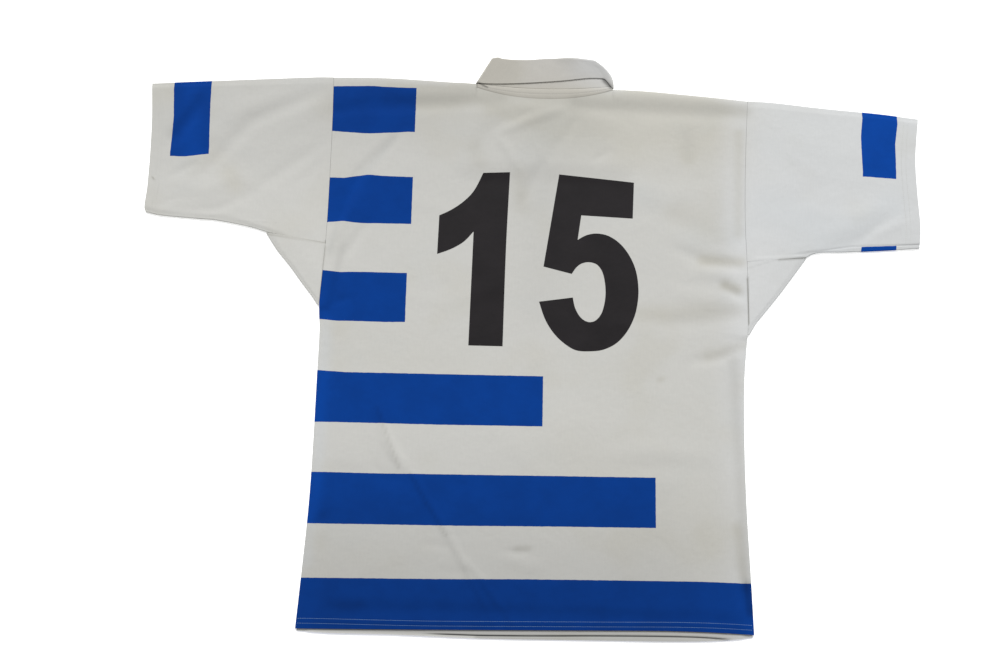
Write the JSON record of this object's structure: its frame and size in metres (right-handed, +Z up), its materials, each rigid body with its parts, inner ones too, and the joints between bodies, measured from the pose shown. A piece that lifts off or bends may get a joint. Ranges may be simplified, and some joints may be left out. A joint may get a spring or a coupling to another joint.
{
  "type": "rugby shirt",
  "caption": "Short-sleeved rugby shirt laid flat, back uppermost, with set-in sleeves, underarm gussets, neck band and turned-down collar.",
  "frame": {"origin": "on the surface under the middle of the laid shirt, at the centre of its bounding box", "axes": "+X towards the wearer's right sleeve, +Y towards the collar, +Z up out of the back"},
  "size_m": [1.104, 0.8246, 0.0121],
  "materials": {
    "jersey_cloth": "matt knitted polyester, off-white",
    "collar_cloth": "matt cotton, aged cream",
    "blue_print": "dyed bars in the jersey cloth",
    "number_print": "thin matt charcoal transfer film",
    "thread": "polyester sewing thread"
  },
  "bodies": {
    "root": {"front": "jersey_cloth", "placket": "jersey_cloth", "back": "jersey_cloth", "sleeve_left": "jersey_cloth", "sleeve_right": "jersey_cloth", "gusset_left": "jersey_cloth", "gusset_right": "jersey_cloth", "neck_band": "collar_cloth", "collar": "collar_cloth"}
  },
  "joints": []
}
